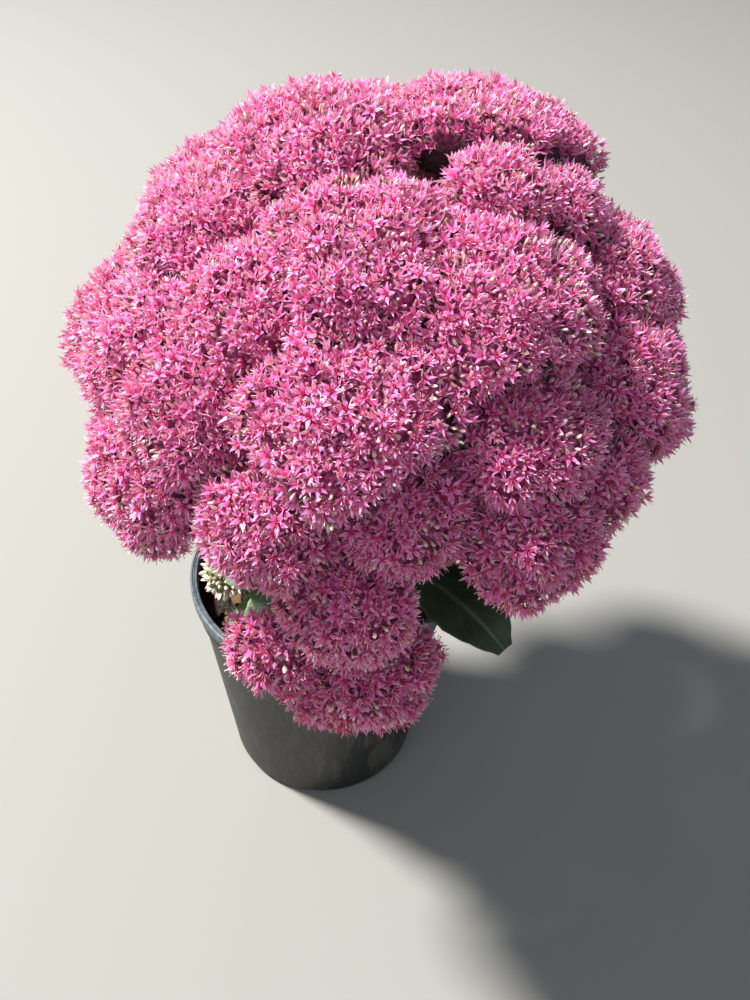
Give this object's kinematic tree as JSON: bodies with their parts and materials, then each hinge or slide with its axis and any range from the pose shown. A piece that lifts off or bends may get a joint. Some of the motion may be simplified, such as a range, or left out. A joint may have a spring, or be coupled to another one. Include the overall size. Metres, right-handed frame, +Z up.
{
  "type": "potted mr goodbud stonecrop",
  "caption": "Nursery pot of soil with leafy stems under a dense dome of starry pink flower heads, one head hanging over the rim.",
  "frame": {"origin": "on the surface that the pot stands on, under the middle of the flowering crown's outline; the pot's own axis is 33 mm from it towards -X", "axes": "+Z up, along the pot's axis; -Y towards the side that the picture shows, with the hanging head; +X to the right of that view"},
  "size_m": [0.331, 0.3367, 0.466],
  "materials": {
    "pot_plastic": "weathered black moulded polypropylene, dusty, paler on the lip",
    "potting_soil": "crumbly dark mix of peat and composted bark",
    "leafy_stems": "fleshy green leaves and stems with a waxy bloom",
    "flower_heads": "matt pink petals, deeper rose at the carpels",
    "buds": "greenish white unopened buds with pink tips"
  },
  "bodies": {
    "root": {"pot": "pot_plastic", "soil": "potting_soil", "stem_top": "leafy_stems", "stem_crown": "leafy_stems", "stem_left": "leafy_stems", "stem_left_low": "leafy_stems", "stem_front": "leafy_stems", "stem_right": "leafy_stems", "stem_right_side": "leafy_stems", "stem_right_low": "leafy_stems", "stem_round": "leafy_stems", "stem_hanging": "leafy_stems", "stem_back": "leafy_stems", "stem_back_left": "leafy_stems", "stem_back_low": "leafy_stems", "stem_back_corner": "leafy_stems", "stem_buds": "leafy_stems", "head_top_back": "flower_heads", "head_top_left": "flower_heads", "head_crown": "flower_heads", "head_inner_left": "flower_heads", "head_left_upper": "flower_heads", "head_left": "flower_heads", "head_left_mid": "flower_heads", "head_left_low": "flower_heads", "head_front": "flower_heads", "head_front_low": "flower_heads", "head_right": "flower_heads", "head_small_top": "flower_heads", "head_small_right": "flower_heads", "head_right_back": "flower_heads", "head_right_edge": "flower_heads", "head_right_low": "flower_heads", "head_small_low": "flower_heads", "head_round": "flower_heads", "head_shade": "flower_heads", "head_hanging": "flower_heads", "head_hanging_upper": "flower_heads", "head_hanging_side": "flower_heads", "head_back": "flower_heads", "head_back_right": "flower_heads", "head_back_left": "flower_heads", "head_far_left": "flower_heads", "head_back_low": "flower_heads", "head_back_side": "flower_heads", "head_back_corner": "flower_heads", "head_right_end": "flower_heads", "bud_cluster": "buds"}
  },
  "joints": []
}
